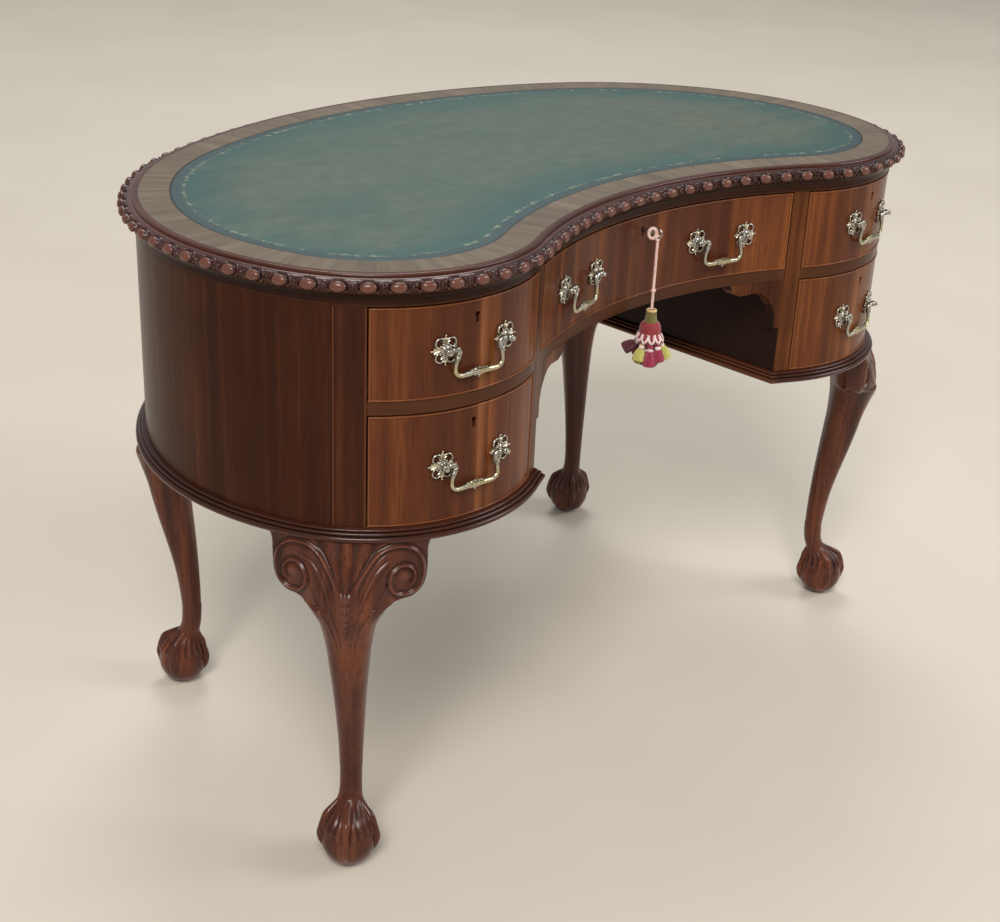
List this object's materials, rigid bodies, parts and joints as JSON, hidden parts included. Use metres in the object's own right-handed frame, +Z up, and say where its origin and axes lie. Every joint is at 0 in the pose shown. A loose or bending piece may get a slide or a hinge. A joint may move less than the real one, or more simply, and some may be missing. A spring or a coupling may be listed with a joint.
{
  "type": "kidney shaped desk",
  "caption": "Kidney shaped writing desk on cabriole legs with claw feet, leather top, curved drawers with swing bail handles, a kneehole and a turning key.",
  "frame": {"origin": "on the floor, under the middle of the desk's box", "axes": "+X to the desk's left as it faces the sitter, which is the right in a view of its front, -Y out of the drawer front towards the sitter, +Z up"},
  "size_m": [1.199, 0.705, 0.762],
  "materials": {
    "mahogany": "polished reddish brown veneer",
    "drawer_lining": "plain waxed",
    "leather": "worn satin",
    "brass": "antique, polished by use",
    "steel": "dull bright",
    "cord": "twisted silk",
    "tassel": "silk threads"
  },
  "bodies": {
    "case": {"back_panel": "mahogany", "centre_shelf": "mahogany", "edge_moulding": "mahogany", "front_left_leg": "mahogany", "front_right_leg": "mahogany", "leather_inset": "leather", "left_base_board": "mahogany", "left_front_post": "mahogany", "left_kneehole_bracket": "mahogany", "left_kneehole_side": "mahogany", "left_mid_shelf": "mahogany", "left_side_panel": "mahogany", "rear_base_rail": "mahogany", "rear_left_leg": "mahogany", "rear_right_leg": "mahogany", "right_base_board": "mahogany", "right_front_post": "mahogany", "right_kneehole_bracket": "mahogany", "right_kneehole_side": "mahogany", "right_mid_shelf": "mahogany", "right_side_panel": "mahogany", "top_board": "mahogany", "top_frame": "mahogany"},
    "upper_left_drawer": {"upper_left_drawer_box": "drawer_lining", "upper_left_drawer_front": "mahogany", "upper_left_left_rosette": "brass", "upper_left_lock": "brass", "upper_left_right_rosette": "brass"},
    "upper_right_drawer": {"upper_right_drawer_box": "drawer_lining", "upper_right_drawer_front": "mahogany", "upper_right_left_rosette": "brass", "upper_right_lock": "brass", "upper_right_right_rosette": "brass"},
    "lower_left_drawer": {"lower_left_drawer_box": "drawer_lining", "lower_left_drawer_front": "mahogany", "lower_left_left_rosette": "brass", "lower_left_lock": "brass", "lower_left_right_rosette": "brass"},
    "lower_right_drawer": {"lower_right_drawer_box": "drawer_lining", "lower_right_drawer_front": "mahogany", "lower_right_left_rosette": "brass", "lower_right_lock": "brass", "lower_right_right_rosette": "brass"},
    "centre_drawer": {"centre_drawer_box": "drawer_lining", "centre_drawer_front": "mahogany", "centre_left_left_rosette": "brass", "centre_left_right_rosette": "brass", "centre_lock": "brass", "centre_right_left_rosette": "brass", "centre_right_right_rosette": "brass"},
    "centre_left_bail": {"centre_left_bail": "brass"},
    "centre_right_bail": {"centre_right_bail": "brass"},
    "lower_left_bail": {"lower_left_bail": "brass"},
    "lower_right_bail": {"lower_right_bail": "brass"},
    "upper_left_bail": {"upper_left_bail": "brass"},
    "upper_right_bail": {"upper_right_bail": "brass"},
    "key": {"key": "steel"},
    "centre_bolt": {"centre_lock_bolt": "steel"},
    "tassel": {"tassel_cord": "cord", "tassel": "tassel"}
  },
  "joints": [
    {"name": "upper_left_drawer_slide", "type": "slide", "parent": "case", "child": "upper_left_drawer", "axis": [0, -1, 0], "range_m": [0, 0.28]},
    {"name": "upper_right_drawer_slide", "type": "slide", "parent": "case", "child": "upper_right_drawer", "axis": [0, -1, 0], "range_m": [0, 0.28]},
    {"name": "lower_left_drawer_slide", "type": "slide", "parent": "case", "child": "lower_left_drawer", "axis": [0, -1, 0], "range_m": [0, 0.28]},
    {"name": "lower_right_drawer_slide", "type": "slide", "parent": "case", "child": "lower_right_drawer", "axis": [0, -1, 0], "range_m": [0, 0.28]},
    {"name": "centre_drawer_slide", "type": "slide", "parent": "case", "child": "centre_drawer", "axis": [0, -1, 0], "range_m": [0, 0.3]},
    {"name": "centre_left_bail_hinge", "type": "hinge", "parent": "centre_drawer", "child": "centre_left_bail", "pos_m": [-0.13829, -0.26903, 0.67244], "axis": [-0.9684, -0.2494, 0], "range_deg": [0, 105]},
    {"name": "centre_right_bail_hinge", "type": "hinge", "parent": "centre_drawer", "child": "centre_right_bail", "pos_m": [0.13829, -0.26903, 0.67244], "axis": [-0.9684, 0.2494, 0], "range_deg": [0, 105]},
    {"name": "lower_left_bail_hinge", "type": "hinge", "parent": "lower_left_drawer", "child": "lower_left_bail", "pos_m": [-0.39061, -0.33739, 0.53548], "axis": [-0.994, 0.1098, 0], "range_deg": [0, 105]},
    {"name": "lower_right_bail_hinge", "type": "hinge", "parent": "lower_right_drawer", "child": "lower_right_bail", "pos_m": [0.39061, -0.33739, 0.53548], "axis": [-0.994, -0.1098, 0], "range_deg": [0, 105]},
    {"name": "upper_left_bail_hinge", "type": "hinge", "parent": "upper_left_drawer", "child": "upper_left_bail", "pos_m": [-0.39061, -0.33739, 0.67244], "axis": [-0.994, 0.1098, 0], "range_deg": [0, 105]},
    {"name": "upper_right_bail_hinge", "type": "hinge", "parent": "upper_right_drawer", "child": "upper_right_bail", "pos_m": [0.39061, -0.33739, 0.67244], "axis": [-0.994, -0.1098, 0], "range_deg": [0, 105]},
    {"name": "key_turn", "type": "hinge", "parent": "centre_drawer", "child": "key", "pos_m": [0, -0.24, 0.7063], "axis": [0, 1, 0], "range_deg": [0, 180]},
    {"name": "centre_bolt_slide", "type": "slide", "parent": "centre_drawer", "child": "centre_bolt", "axis": [0, 0, 1], "range_m": [0, 0.006]},
    {"name": "tassel_swing", "type": "hinge", "parent": "centre_drawer", "child": "tassel", "pos_m": [0, -0.24, 0.7063], "axis": [0, 1, 0], "range_deg": [-20, 20]}
  ],
  "couplings": [
    {"joint": "key_turn", "follows": "centre_bolt_slide", "rad_per_m": 523.5}
  ]
}
